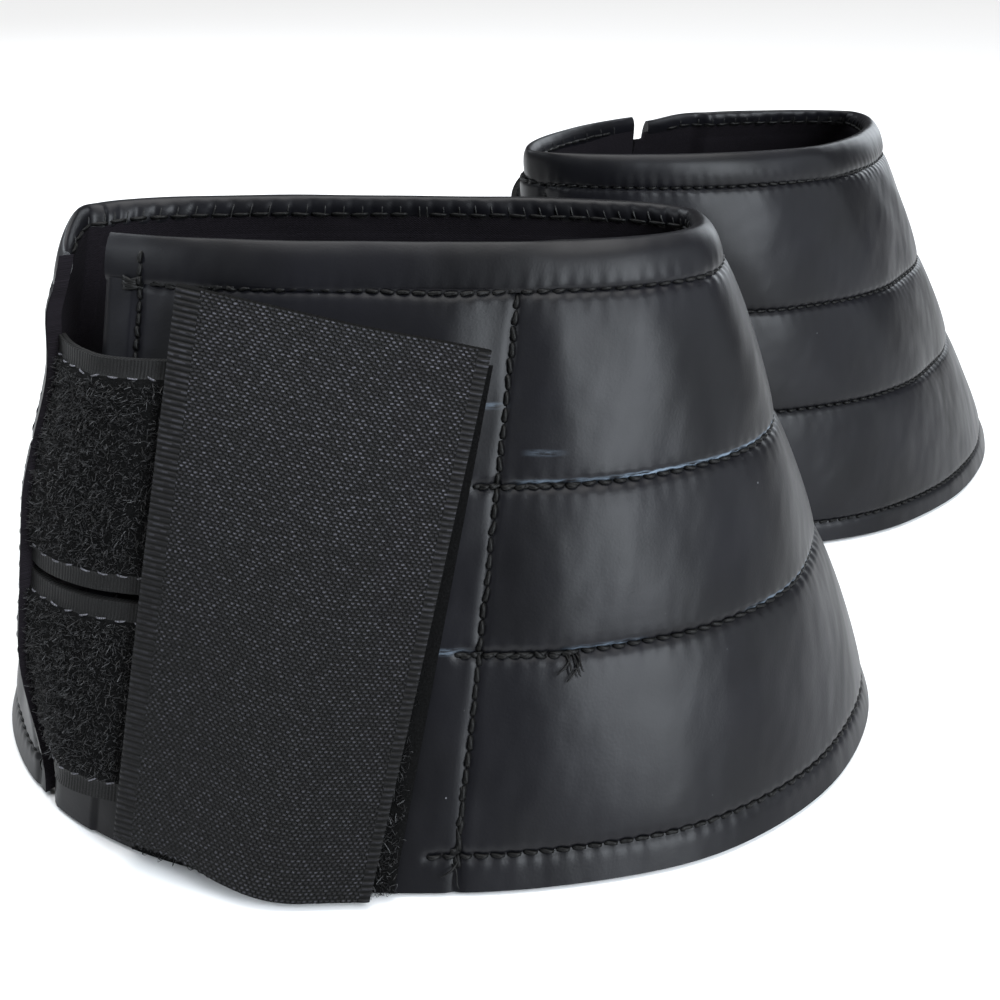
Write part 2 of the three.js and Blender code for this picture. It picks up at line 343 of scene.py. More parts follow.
class Finish:
    """A material being made. Every node comes from node()."""

    def __init__(self, name):
        self.material = bpy.data.materials.new(name)
        self.material.use_nodes = True
        self.tree = self.material.node_tree
        self.tree.nodes.clear()

    def node(self, kind, settings=None, values=None, output=0):
        made = self.tree.nodes.new(kind)
        for key, value in (settings or {}).items():
            setattr(made, key, value)
        for key, value in (values or {}).items():
            if isinstance(value, Wire):
                self.tree.links.new(value.socket, made.inputs[key])
            else:
                made.inputs[key].default_value = value
        return Wire(self, made.outputs[output] if made.outputs else None)

    def cut(self):
        """The place on the flat cut piece, in metres."""
        return self.node("ShaderNodeUVMap", {"uv_map": "cut"})

    def across_and_along(self):
        parts = self.node("ShaderNodeSeparateXYZ", None, {0: self.cut()})
        nodes = parts.socket.node.outputs
        return Wire(self, nodes["X"]), Wire(self, nodes["Y"])

    def place(self):
        return self.node("ShaderNodeTexCoord", None, None, "Object")

    def noise(self, vector, grain, detail=2, rough=0.5):
        values = {"Vector": vector, "Scale": 1 / (grain * mm), "Detail": detail, "Roughness": rough}
        return self.node("ShaderNodeTexNoise", None, values)

    def cells(self, vector, grain, output="Distance", feature="F1"):
        values = {"Vector": vector, "Scale": 1 / (grain * mm)}
        return self.node("ShaderNodeTexVoronoi", {"feature": feature}, values, output)

    def mix(self, share, low, high):
        """A colour between low and high. The node's sockets for colours are 6 and 7, and 2 going out."""
        values = {0: share, 6: low, 7: high}
        return self.node("ShaderNodeMix", {"data_type": "RGBA"}, values, 2)

    def stretched(self, vector, across, along):
        values = {0: vector, 1: (across, along, 1)}
        return self.node("ShaderNodeVectorMath", {"operation": "MULTIPLY"}, values)

    def bump(self, height, deep, normal=None):
        """deep is the height in millimetres of a rise of 1."""
        values = {"Height": height, "Strength": 1, "Distance": deep * mm}
        if normal is not None:
            values["Normal"] = normal
        return self.node("ShaderNodeBump", None, values)

    def done(self, **values):
        named = {key.replace("_", " ").title(): value for key, value in values.items()}
        named = {key.replace("Ior", "IOR"): value for key, value in named.items()}
        shader = self.node("ShaderNodeBsdfPrincipled", None, named)
        self.node("ShaderNodeOutputMaterial", None, {"Surface": shader})
        return self.material


def grey(level, blue=0.0):
    """A near-black with a touch of blue, or of purple when blue is below 0."""
    return (level * (1 + max(0, -blue)), level, level * (1 + abs(blue) * 1.5), 1)


def leatherette(name, marks):
    """Black PVC: fine grain, satin, with pale rubbed marks where the boots lay against each other."""
    f = Finish(name)
    across, along = f.across_and_along()
    cut = f.cut()
    patches = f.noise(cut, 40, 3)
    streaks = f.noise(f.stretched(cut, 0.3, 2.2), 1.6, 4, 0.7)
    rubbed = 0
    for height, low, high, strength in marks:
        band = along.rise((height - 0.3) * mm, (height + 0.7) * mm)
        band = band * (1 - along.rise((height + 0.9) * mm, (height + 1.9) * mm))
        stretch = across.rise(low * mm, (low + 7) * mm)
        stretch = stretch * (1 - across.rise((high - 9) * mm, high * mm))
        rubbed = band * stretch * strength + rubbed
    rubbed = rubbed * streaks.rise(0.36, 0.62)
    dots = 1 - f.cells(cut, 7).rise(0.022, 0.035)
    dust = dots * f.noise(cut, 30).rise(0.5, 0.62) * 0.35
    base = f.mix(patches.rise(0.3, 0.7), grey(0.0028, 0.2), grey(0.005, 0.25))
    pale = f.mix(rubbed.call("MINIMUM", 1), base, (0.16, 0.205, 0.26, 1))
    colour = f.mix(dust, pale, (0.3, 0.31, 0.33, 1))
    gloss = f.noise(cut, 9, 3)
    roughness = 0.37 + gloss * 0.08 + rubbed.call("MINIMUM", 1) * 0.2
    grain = f.cells(cut, 0.55, feature="SMOOTH_F1")
    creases = f.noise(cut, 2.6, 4, 0.6)
    dents = f.noise(f.stretched(cut, 1, 0.7), 19, 2, 0.45)
    normal = f.bump(dents, 1.1, f.bump(creases, 0.03, f.bump(grain, 0.014)))
    return f.done(base_color=colour, roughness=roughness, normal=normal, specular_ior_level=0.19)


RUB_MARKS = [  # height, first and last place along the wall, strength
    (UPPER_QUILT, 106, 150, 0.45),
    (UPPER_QUILT, 132, 240, 0.95),
    (LOWER_QUILT, 80, 104, 0.5),
    (LOWER_QUILT, 122, 146, 0.5),
    (LOWER_QUILT, 172, 262, 0.7),
    (99.5, 90, 106, 0.5),
    (89.5, 108, 121, 0.3),
]
shells = {
    "front": leatherette("leatherette_front", RUB_MARKS),
    "rear": leatherette("leatherette_rear", []),
}
spans = {
    boot.name: {"main": (0, boot.split - BEND), "wing": (boot.split - BEND, boot.end)}
    for boot in boots
}


def flat_cut(boot, stations, heights):
    """Where the points of a piece of the wall lie on the cut piece, in metres."""
    return np.stack(np.broadcast_arrays(boot.along(stations, heights), heights), -1) * mm


def fasten(piece, boot, body, slot, *nodes):
    """Fixes a piece to one body, in the place of the named nodes."""
    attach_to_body(piece, f"{boot.name}_{body}")
    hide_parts(*(f"{boot.name}_{node}" for node in nodes))


def attach(piece, boot, part, slot, *nodes):
    """Fixes a piece of the wall: the main wall's rides on the main body, the wing's stays where it is
    made.
    """
    nodes = [f"{node}_{part}" for node in nodes]
    if part == "main":
        fasten(piece, boot, "main", slot, *nodes)
        return
    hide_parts(*(f"{boot.name}_{node}" for node in nodes))
    start = boot.point(boot.split - BEND, MIDDLE, 0)
    end = boot.point(boot.split + BEND, MIDDLE, 0)
    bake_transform(piece)


def columns(low, high, gap):
    """Even places from low to high, about gap apart."""
    return np.linspace(low, high, int((high - low) / gap) + 1)


for boot in boots:
    for part, (low, high) in spans[boot.name].items():
        stations = columns(low, high, 1.0 if boot.name == "front" else 1.5)
        heights = close_rows(ROWS, 0, WALL_TOP)[:, None]
        depth = shell_depth(boot, stations, heights)
        thick = np.where(heights < 1, SHELL_THICK - 0.3, SHELL_THICK)
        piece = sheet_piece(
            f"{boot.name}_shell_{part}_leatherette",
            boot.point(stations, heights, depth),
            boot.point(stations, heights, depth - thick),
            flat_cut(boot, stations, heights),
            shells[boot.name],
        )
        attach(piece, boot, part, "leatherette", "shell")


# --- Rolled collar -----------------------------------------------------------------------------
# The same leatherette is turned over a strip of foam round the rim and sewn down twice: outside
# by the collar row, inside by long stitches that pinch the roll into small pleats.
COLLAR_TURN = np.linspace(0, 1, 34)  # from the outer row over the top to the inner one
PLEAT = 5.6
ROLL_WIDTH = 25  # of the flat strip that is rolled
ROLL_CUT = 140  # where that strip lies on the cut piece
ROLL = np.array(  # depth and height of the corners round the roll
    [
        (-0.9, 124.1),
        (0.3, 125.5),
        (0.75, 128.5),
        (0.3, 132),
        (-1.2, 134.3),
        (-2.6, 134.95),
        (-4.4, 134.4),
        (-5.9, 132.6),
        (-6.4, 130.4),
        (-6.1, 128.6),
        (-5.2, 128),
    ]
)


class CubicLine:
    """A smooth line through a few corners."""

    def __init__(self, reach, corners):
        self.reach, self.corners = reach, corners
        self.slope = np.gradient(corners, reach, axis=0)

    def __call__(self, t):
        low = np.clip(np.searchsorted(self.reach, t, side="right") - 1, 0, len(self.reach) - 2)
        gap = (self.reach[low + 1] - self.reach[low])[:, None]
        u = ((t - self.reach[low]) / gap[:, 0])[:, None]
        start, end = self.corners[low], self.corners[low + 1]
        return (
            (2 * u**3 - 3 * u**2 + 1) * start
            + (u**3 - 2 * u**2 + u) * gap * self.slope[low]
            + (3 * u**2 - 2 * u**3) * end
            + (u**3 - u**2) * gap * self.slope[low + 1]
        )


def collar_section(boot, station):
    """Depths and heights round the roll, one column for each station."""
    padded = boot.padded(station)
    run = boot.along(station, COLLAR_TOP)
    pleat = (0.5 + 0.5 * np.cos(2 * np.pi * run / PLEAT)) ** 2
    pucker = 0.5 + 0.5 * np.cos(2 * np.pi * boot.along(station, COLLAR_ROW) / PITCH)
    fine = CubicLine(np.linspace(0, 1, len(ROLL)), ROLL)(COLLAR_TURN)
    depth, height = fine[:, :1], fine[:, 1:]
    flat = -1.3 + (depth + 2.8) * 0.55
    depth = depth * padded + flat * (1 - padded)
    outside = np.clip(1 - COLLAR_TURN / 0.25, 0, 1)[:, None]
    inside = np.clip((COLLAR_TURN - 0.55) / 0.3, 0, 1)[:, None]
    slack = 0.35 * np.sin(run / 11) + 0.25 * np.sin(run / 5.3 + 2)
    depth = depth + 0.5 * padded * inside * pleat - 0.25 * outside * pucker
    depth = depth + 0.4 * padded * slack * (1 - inside)
    height = height + 0.12 * slack - 0.2 * inside * pleat
    return depth + boot.flare(station, height), height


for boot in boots:
    for part, (low, high) in spans[boot.name].items():
        stations = columns(low, high, 1.2)
        depth, height = collar_section(boot, stations)
        ring = boot.point(stations, height, depth)
        index = np.arange(height.size).reshape(height.shape)
        closed = np.concatenate([index, index[:1]])
        caps = []
        for k in range(len(index) // 2 - 1):
            rungs = index[[k, k + 1, -k - 2, -k - 1]]
            caps += [rungs[::-1, 0], rungs[:, -1]]
        faces = np.concatenate([grid_faces(closed), caps])
        round_it = np.broadcast_to(ROLL_CUT + COLLAR_TURN[:, None] * ROLL_WIDTH, height.shape)
        cut = np.stack([boot.along(stations, height), round_it], -1).reshape(-1, 2) * mm
        name = f"{boot.name}_collar_{part}_roll"
        piece = make_piece(name, ring.reshape(-1, 3), faces, cut, shells[boot.name])
        attach(piece, boot, part, "leatherette", "collar")


# --- Foam and lining ---------------------------------------------------------------------------
# Between shell and lining lies a sheet of closed-cell foam. The lining is dark jersey bonded to
# thin neoprene. Both come to the shell's edge at the hem, where all layers are cut as one.
def foam():
    f = Finish("foam")
    cut = f.cut()
    bubbles = f.cells(cut, 0.6)
    colour = f.mix(bubbles, grey(0.02), grey(0.035))
    return f.done(base_color=colour, roughness=0.9, normal=f.bump(bubbles, 0.1))


def jersey():
    f = Finish("jersey")
    across, along = f.across_and_along()
    ribs = (across * (2 * math.pi / (0.9 * mm))).call("SINE")
    loops = (along * (2 * math.pi / (0.7 * mm)) + ribs * 0.8).call("SINE")
    fuzz = f.noise(f.cut(), 0.5, 3, 0.7)
    patches = f.noise(f.cut(), 25, 3)
    colour = f.mix(fuzz.rise(0.35, 0.75), grey(0.0025, -0.25), grey(0.009, -0.22))
    colour = f.mix(patches.rise(0.3, 0.8) * 0.35, colour, grey(0.01, -0.2))
    height = ribs * 0.25 + loops * 0.15 + fuzz
    return f.done(
        base_color=colour,
        roughness=0.95,
        normal=f.bump(height, 0.12),
        specular_ior_level=0.12,
    )


FOAM_FOOT = 10
LINING_TOP = 129.5
LAPS = {"front": 1.2, "rear": 6.5}
foam_finish, lining_finish = foam(), jersey()
for boot in boots:
    for part, (low, high) in spans[boot.name].items():
        high = min(high, boot.tail - 8)
        low = max(low, CLOSURE + 8)
        stations, heights = columns(low, high, 3), columns(FOAM_FOOT, WALL_TOP, 3)[:, None]
        swell = 0.8 * boot.padded(stations) * SWELL * channels(heights)
        swell = swell + boot.flare(stations, heights)
        piece = sheet_piece(
            f"{boot.name}_foam_{part}_sheet",
            boot.point(stations, heights, swell - 2.2),
            boot.point(stations, heights, swell - 2.6 - 2.6 * ease(heights, 9, 24)),
            flat_cut(boot, stations, heights),
            foam_finish,
        )
        attach(piece, boot, part, "foam", "foam")

    for part, (low, high) in spans[boot.name].items():
        # The lining is a little longer than the wing: it laps the layers' cut ends, and on the
        # rear boot it closes the throat.
        lap = LAPS[boot.name] if part == "wing" else 0
        stations = columns(low, high + lap, 1.2)
        heights = close_rows(ROWS, 1, LINING_TOP, 2.5)[:, None]
        padding = boot.padded(stations) * ease(heights, 5, 20)
        quilting = 0.9 * padding * (1 - channels(heights))
        inside = -1.9 - 3.9 * padding + quilting + boot.flare(stations, heights)
        inside = inside + 0.25 * waves(stations * 1.3, heights * 1.2)
        lapped = ease(stations, boot.end - 0.3, boot.end + 0.7) * boot.curl
        raised = heights + 5 * lapped * ease(heights, 118, LINING_TOP)
        piece = sheet_piece(
            f"{boot.name}_lining_{part}_jersey",
            boot.point(stations, raised, inside + 2.5 * lapped),
            boot.point(stations, raised, inside - 1.3),
            flat_cut(boot, stations, heights),
            lining_finish,
        )
        attach(piece, boot, part, "lining", "lining")


# --- Rows of stitches --------------------------------------------------------------------------
# Thick bonded thread, three strands twisted together. Each stitch rises a little between two
# needle holes. The quilting is sewn twice over where it starts, to lock it.
STRANDS = 3
THREAD = 0.62  # its radius
THIN_THREAD = 0.26


def thread_finish(name, dark, light):
    f = Finish(name)
    strands = f.noise(f.place(), 0.25, 2)
    colour = f.mix(strands.rise(0.35, 0.7), dark, light)
    return f.done(base_color=colour, roughness=0.5, specular_ior_level=0.16, normal=f.bump(strands, 0.04))


black_thread = thread_finish("black_thread", grey(0.001), grey(0.004))
# The strap thread is black like the rest; its pale grey is painted sheen for the glints along the dashes.
strap_thread = thread_finish("strap_thread", grey(0.03), grey(0.16, 0.1))
bar_thread = thread_finish("bar_thread", grey(0.006), grey(0.035))


def twisted(centres, ups, radius, turn=1.9):
    """Twisted thread along lines of points. centres is lines x points x 3, in metres."""
    ahead = np.gradient(centres, axis=1)
    ahead /= np.linalg.norm(ahead, axis=-1, keepdims=True) + 1e-12
    side = np.cross(ahead, ups)
    side /= np.linalg.norm(side, axis=-1, keepdims=True) + 1e-12
    up = np.cross(side, ahead)
    lines, steps = centres.shape[:2]
    angle = np.arange(9) * 2 * np.pi / 9
    run = np.append(0, np.cumsum(np.linalg.norm(np.diff(centres[0], axis=0), axis=1)))
    ply = np.cos(STRANDS * angle[None, :] - turn * run[:, None] / mm)
    share = np.linspace(-1, 1, steps)[:, None]
    taper = 1 - 0.55 * np.abs(share) ** 6
    reach = (radius * mm * taper * (0.88 + 0.12 * ply))[None, :, :, None]
    cos, sin = np.cos(angle)[:, None], np.sin(angle)[:, None]
    points = centres[:, :, None] + reach * (cos * side[:, :, None] + sin * up[:, :, None])
    index = np.arange(steps * 9).reshape(steps, 9)
    around = np.concatenate([index, index[:, :1]], 1)
    cap = np.array([[0, 1, 2, 8], [2, 3, 7, 8], [3, 4, 6, 7], [4, 5, 6, 6]])
    one = np.concatenate([grid_faces(around), cap, cap[:, ::-1] + (steps - 1) * 9])
    faces = (one[None] + (np.arange(lines) * steps * 9)[:, None, None]).reshape(-1, 4)
    return points.reshape(-1, 3), faces


def stitches(path, ups, pitch, radius, shift=0.0, slack=0.12, reach=0.45):
    """Stitches along a path of close points, in metres: one between each two needle holes."""
    run = np.append(0, np.cumsum(np.linalg.norm(np.diff(path, axis=0), axis=1))) / mm
    count = max(1, int((run[-1] - shift) / pitch))
    share = np.linspace(-1, 1, 8)
    spot = shift + pitch * (np.arange(count)[:, None] + 0.5 + reach * share)
    centres, up = (
        np.stack([np.interp(spot, run, values[:, axis]) for axis in range(3)], -1)
        for values in (path, ups)
    )
    ahead = np.gradient(centres, axis=1)
    side = np.cross(ahead / np.linalg.norm(ahead, axis=-1, keepdims=True), up)
    sway = chance.normal(0, slack, (count, 1, 1)) * share[None, :, None]
    sway = sway + chance.normal(0, slack * 0.5, (count, 1, 1))
    lift = (0.75 * radius * (1 - share**4) - 0.9 * radius * share**6)[None, :, None]
    return twisted(centres + (side * sway + up * lift) * mm, up, radius)


def thread_piece(name, parts, material):
    """Joins runs of thread into one piece."""
    starts = np.cumsum([0] + [len(points) for points, _ in parts])
    points = np.concatenate([points for points, _ in parts])
    faces = np.concatenate([faces + start for (_, faces), start in zip(parts, starts)])
    return make_piece(name, points, faces, points[:, :2], material, sharp=80)


def level_path(boot, low, high, height, depth):
    """A path along the wall at one height, with the directions out of the wall."""
    stations = np.linspace(low, high, max(3, int(abs(high - low) / 0.4)))
    path = boot.point(stations, height, depth(boot, stations, height))
    out = np.pad(boot.out(stations, np.full_like(stations, height)), ((0, 0), (0, 1)))
    return path, out


def upright_path(boot, station, low, high, depth):
    heights = np.linspace(low, high, int((high - low) / 0.4))
    stations = np.full_like(heights, station)
    path = boot.point(stations, heights, depth(boot, stations, heights))
    return path, np.pad(boot.out(stations, heights), ((0, 0), (0, 1)))


def inner_collar_depth(boot, station, height):
    padded = boot.padded(station)
    return -6.3 * padded - 3.3 * (1 - padded) + boot.flare(station, height)


def tail(boot, station, height, long, swing, radius=0.28):
    """A loose end of thread that hangs from a stitch and bends away along the wall."""
    share = np.linspace(0, 1, 9)
    stations = station + swing * share**1.5 + 0.5 * np.sin(5 * share)
    heights = height - long * share
    lift = 0.7 + 0.9 * np.sin(np.pi * share * 0.7)
    centres = boot.point(stations, heights, shell_depth(boot, stations, heights) + lift)[None]
    out = np.pad(boot.out(stations, heights), ((0, 0), (0, 1)))[None]
    return twisted(centres, out, radius)


LEVEL_ROWS = {
    "collar_seam": COLLAR_ROW,
    "upper_quilt": UPPER_QUILT,
    "lower_quilt": LOWER_QUILT,
    "hem_seam": HEM_ROW,
}
LOCKED = 36  # length that is sewn twice where a row starts
INNER_ROW = 130.2  # height of the inner stitches of the collar
BAR_FOOT, BAR_TOP = 129.2, 133.3  # the pleating threads reach this far over the roll
FRAYED = 129  # station of the loose ends in the lower quilt


def collar_bars(boot, first, last):
    """Thin threads that climb the roll from the inner stitches, one for each pleat."""
    rim_run = np.ptp(boot.along(np.array([first, last]), COLLAR_TOP))
    spots = np.arange(max(first, 4), last, PLEAT * (last - first) / rim_run)
    rise = np.linspace(BAR_FOOT, BAR_TOP, 8)[None, :]
    spot = np.repeat(spots[:, None], 8, 1) + chance.normal(0, 0.2, (len(spots), 1))
    over = inner_collar_depth(boot, spot, rise) + 1.2 * ease(rise, 131, BAR_TOP) ** 2
    out = -np.pad(boot.out(spot, rise), ((0, 0), (0, 0), (0, 1)))
    return twisted(boot.point(spot, rise, over), out, THIN_THREAD)


for boot in boots:
    for row, height in LEVEL_ROWS.items():
        for part, (low, high) in spans[boot.name].items():
            first = ROWS[height] if part == "main" else low
            last = high if part == "main" else high - WING_END_ROW - 2
            runs = [stitches(*level_path(boot, first, last, height, shell_depth), PITCH, THREAD)]
            if part == "main" and row != "hem_seam":
                again = level_path(boot, first, first + LOCKED, height - 0.25, shell_depth)
                runs.append(stitches(*again, PITCH * 0.8, THREAD * 1.1, shift=1.3, slack=0.35))
            if row == "lower_quilt" and (boot.name, part) == ("front", "main"):
                for k in range(5):
                    long, swing = chance.uniform(3, 6), chance.uniform(-4, 3)
                    runs.append(tail(boot, FRAYED + k, LOWER_QUILT, long, swing))
            if row == "collar_seam":
                inner = level_path(boot, max(first, 4), last, INNER_ROW, inner_collar_depth)
                runs.append(stitches(inner[0], -inner[1], PLEAT, THREAD * 0.9, shift=PLEAT / 2))
            piece = thread_piece(f"{boot.name}_{row}_{part}_thread", runs, black_thread)
            attach(piece, boot, part, "thread", row)
            if row == "collar_seam":
                bars = [collar_bars(boot, first, last)]
                bars = thread_piece(f"{boot.name}_collar_bars_{part}_thread", bars, bar_thread)
                attach(bars, boot, part, "thread")


def bar_tack(boot, station, height, wide, count):
    """A few short stitches on top of each other, where a row is locked."""
    runs = []
    for _ in range(count):
        middle = height + chance.normal(0, 0.5)
        path = level_path(boot, station - wide / 2, station + wide / 2, middle, shell_depth)
        runs.append(stitches(*path, wide * chance.uniform(0.6, 0.9), THREAD, slack=0.5))
    return runs


def over_collar(boot, station, height):
    """The end row climbs from the shell on to the collar."""
    return shell_depth(boot, station, height) + 1.2 * ease(height, 123.5, 125)


for boot in boots:
    path = upright_path(boot, CLOSURE, 4.5, 124, shell_depth)
    runs = [stitches(*path, PITCH, THREAD * 1.2, slack=0.25)]
    path = upright_path(boot, CLOSURE - 0.3, 5, 22, shell_depth)
    runs.append(stitches(*path, PITCH * 0.8, THREAD, slack=0.35))
    runs += bar_tack(boot, CLOSURE, 8, 4, 3)
    runs += [tail(boot, CLOSURE - 1, 6, 4.5, 2.5), tail(boot, CLOSURE, 7, 3, -3)]
    piece = thread_piece(f"{boot.name}_closure_seam_thread", runs, black_thread)
    fasten(piece, boot, "main", "thread", "closure_seam")

    path = upright_path(boot, END_ROW, 14, 133, over_collar)
    runs = [stitches(*path, PITCH * 0.8, THREAD * 1.1)]
    runs += bar_tack(boot, END_ROW - 1, COLLAR_ROW, 8, 5)
    piece = thread_piece(f"{boot.name}_end_seam_main_thread", runs, black_thread)
    fasten(piece, boot, "main", "thread", "end_seam_main")

    path = upright_path(boot, boot.end - WING_END_ROW, 3, 124, shell_depth)
    runs = [stitches(*path, PITCH, THREAD * 0.6)]
    piece = thread_piece(f"{boot.name}_end_seam_wing_thread", runs, black_thread)
    fasten(piece, boot, "wing", "thread", "end_seam_wing")


# --- Straps ------------------------------------------------------------------------------------
# Each strap is 50 mm tape: soft loop pile outside, hooks inside, sewn along both ribbed edges.
# It comes from the inner face of the wing, bows over the throat and lies on the closure.
STRAPS = {"upper": (57.5, 109), "lower": (12, 55.5)}
STRAP_TIP = 52
SELVEDGE = 5
STRAP_ROW = 4  # from the edge of the tape to its row of dashes
DASH_PITCH = 5.2
ROOT_GAP = 0.6  # from the wing's end to the strap's first point


def strap_root(boot):
    return ROOT_GAP - boot.throat


def strap_depth(boot, station, height):
    """Depth of the strap's middle layer: out of the wing's inner face, over the gap, down."""
    root = strap_root(boot)
    landed = ease(station, root, 6)
    wing_edge = boot.flare(np.full_like(station, boot.end), height) - 3.2
    bow = np.sin(np.pi * np.clip((station - root) / (boot.throat + 22), 0, 1)) ** 1.2
    return wing_edge * (1 - landed) + 3.9 * landed + 2.5 * boot.curl * bow


def pile_depth(boot, station, height):
    return strap_depth(boot, station, height) + 1.3


def dash_depth(boot, station, height):
    return strap_depth(boot, station, height) + 1.0


def pile_finish():
    f = Finish("loop_pile")
    fuzz = f.noise(f.cut(), 0.55, 5, 0.75)
    tufts = f.noise(f.cut(), 2.4, 3)
    colour = f.mix(fuzz.rise(0.4, 0.75) * 0.8 + tufts * 0.2, grey(0.001), grey(0.006, 0.03))
    normal = f.bump(fuzz + tufts, 0.5)
    return f.done(base_color=colour, roughness=0.95, normal=normal, specular_ior_level=0.1)


def fibre_finish():
    f = Finish("pile_fibres")
    tone = f.noise(f.place(), 0.8, 2)
    colour = f.mix(tone.rise(0.4, 0.75), grey(0.0015), grey(0.04, 0.03))
    return f.done(base_color=colour, roughness=0.45, specular_ior_level=0.3)


def webbing_finish(name, rib, dark, light):
    """Tape edge: fine ribs across the tape."""
    f = Finish(name)
    across, along = f.across_and_along()
    ribs = (across * (2 * math.pi / (rib * mm))).call("SINE")
    fuzz = f.noise(f.cut(), 0.3, 3)
    colour = f.mix((ribs * 0.25 + 0.5) * fuzz.rise(0.35, 0.7), dark, light)
    normal = f.bump(ribs * 0.5 + fuzz, 0.1)
    return f.done(base_color=colour, roughness=0.6, normal=normal, specular_ior_level=0.2)


def loops(points, ups, height, width, radius=0.068):
    """Small loops of pile fibre standing on points. All in metres but the sizes."""
    count = len(points)
    lean = chance.normal(0, 1, (count, 3))
    lean -= (lean * ups).sum(1, keepdims=True) * ups
    lean /= np.linalg.norm(lean, axis=1, keepdims=True)
    twist = chance.normal(0, 0.5, (count, 1, 3)) * width * mm
    share = np.linspace(0, 1, 5)[None, :, None]
    tall = chance.uniform(0.5, 1.2, (count, 1, 1)) * height * mm
    wide = chance.uniform(0.6, 1.3, (count, 1, 1)) * width * mm
    centres = points[:, None] + ups[:, None] * tall * np.sin(np.pi * share)
    centres = centres + lean[:, None] * wide * (share - 0.5) + twist * np.sin(np.pi * share)
    ahead = np.gradient(centres, axis=1)
    side = np.cross(ahead, ups[:, None] + 0.3 * lean[:, None])
    side /= np.linalg.norm(side, axis=-1, keepdims=True) + 1e-12
    up = np.cross(side, ahead)
    up /= np.linalg.norm(up, axis=-1, keepdims=True) + 1e-12
    angle = (np.arange(3) * 2 * np.pi / 3)[:, None]
    ring = np.cos(angle) * side[:, :, None] + np.sin(angle) * up[:, :, None]
    points = centres[:, :, None] + radius * mm * ring
    index = np.arange(15).reshape(5, 3)
    one = grid_faces(np.concatenate([index, index[:, :1]], 1))
    faces = (one[None] + (np.arange(count) * 15)[:, None, None]).reshape(-1, 4)
    return points.reshape(-1, 3), faces


pile, fibres = pile_finish(), fibre_finish()
selvedge = webbing_finish("strap_selvedge", 0.85, grey(0.001), grey(0.016))
LOOP_DENSITY = 2.3  # loops per square millimetre


def scatter(boot, low, high, foot, head, depth, count):
    """Random places on a strap or panel, with the directions out of it."""
    station, height = chance.uniform(low, high, count), chance.uniform(foot, head, count)
    out = np.pad(boot.out(station, height), ((0, 0), (0, 1)))
    return boot.point(station, height, depth(boot, station, height)), out


def on_strap(piece, boot, name, *nodes, slot):
    """Hides the strap's nodes; the piece stays where it is made, rooted at the end of the wing."""
    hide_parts(*(f"{boot.name}_{name}_strap_{node}" for node in nodes))
    low, high = STRAPS[name]
    root = strap_root(boot)
    start = boot.point(root, (low + high) / 2, 0)
    end = boot.point(root + 7, (low + high) / 2, 0)
    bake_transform(piece)


for boot in boots:
    root = strap_root(boot)
    for name, (foot, head) in STRAPS.items():
        stations = columns(root, STRAP_TIP, 1.2)
        heights = columns(foot, head, 1.0)[:, None]
        middle = strap_depth(boot, *np.broadcast_arrays(stations, heights))
        edge = np.minimum(heights - foot, head - heights)
        plump = 0.75 * ease(edge, SELVEDGE - 1.5, SELVEDGE)
        wave = 0.35 * waves(stations * 2, heights * 1.5)
        cut = np.stack(np.broadcast_arrays(stations, heights), -1) * mm
        loop_side = sheet_piece(
            f"{boot.name}_{name}_strap_loop_tape",
            boot.point(stations, heights, middle + 0.65 + plump + wave),
            boot.point(stations, heights, middle + wave),
            cut,
            pile,
        )
        loop_side.data.materials.append(selvedge)
        centres = np.array([polygon.center.z for polygon in loop_side.data.polygons]) / mm
        woven = (centres < foot + SELVEDGE - 0.8) | (centres > head - SELVEDGE + 0.8)
        loop_side.data.polygons.foreach_set("material_index", woven.astype(np.int32))
        on_strap(loop_side, boot, name, "loop", slot="loop_pile")
        flat = ((head - foot) * mm, (STRAP_TIP - root) * mm)

        hook_side = sheet_piece(
            f"{boot.name}_{name}_strap_hook_tape",
            boot.point(stations, heights, middle + wave - 0.15),
            boot.point(stations, heights, middle + wave - 1.2),
            cut,
            selvedge,
        )
        on_strap(hook_side, boot, name, "hook", slot="hook_tape")

        count = int(LOOP_DENSITY * (STRAP_TIP - root) * (head - foot - 2 * SELVEDGE))
        places = scatter(boot, root, STRAP_TIP, foot + SELVEDGE, head - SELVEDGE, pile_depth, count)
        points, faces = loops(*places, 0.7, 1.5)
        fuzz = make_piece(f"{boot.name}_{name}_strap_fibres", points, faces, points[:, :2], fibres)
        on_strap(fuzz, boot, name, slot="loop_pile")

        for row, height in (("top", head - STRAP_ROW), ("foot", foot + STRAP_ROW)):
            path = level_path(boot, root + 1, STRAP_TIP - 2, height, dash_depth)
            run = stitches(*path, DASH_PITCH, THIN_THREAD, slack=0.3, reach=0.26)
            sewn = thread_piece(f"{boot.name}_{name}_strap_{row}_thread", [run], strap_thread)
            on_strap(sewn, boot, name, f"{row}_row", slot="thread")


# --- Loop panel --------------------------------------------------------------------------------
# The hooks of the straps and of the flap grip this panel of brushed loop pile, sewn flat on the
# closure. Only a strip of it shows past the flap.
PANEL_LOW, PANEL_HIGH = 24, 90  # stations of its side edges, at the foot
PANEL_FOOT, PANEL_HEAD = 1.2, 109
PANEL_WIDTH, PANEL_LENGTH = PANEL_HIGH - PANEL_LOW, PANEL_HEAD - PANEL_FOOT
PANEL_LEAN = 0.09  # its right edge runs beside the flap's, which leans as well
PANEL_DEPTH = 1.9


def panel_surface(boot, station, height):
    return np.full_like(station, PANEL_DEPTH - 0.1)


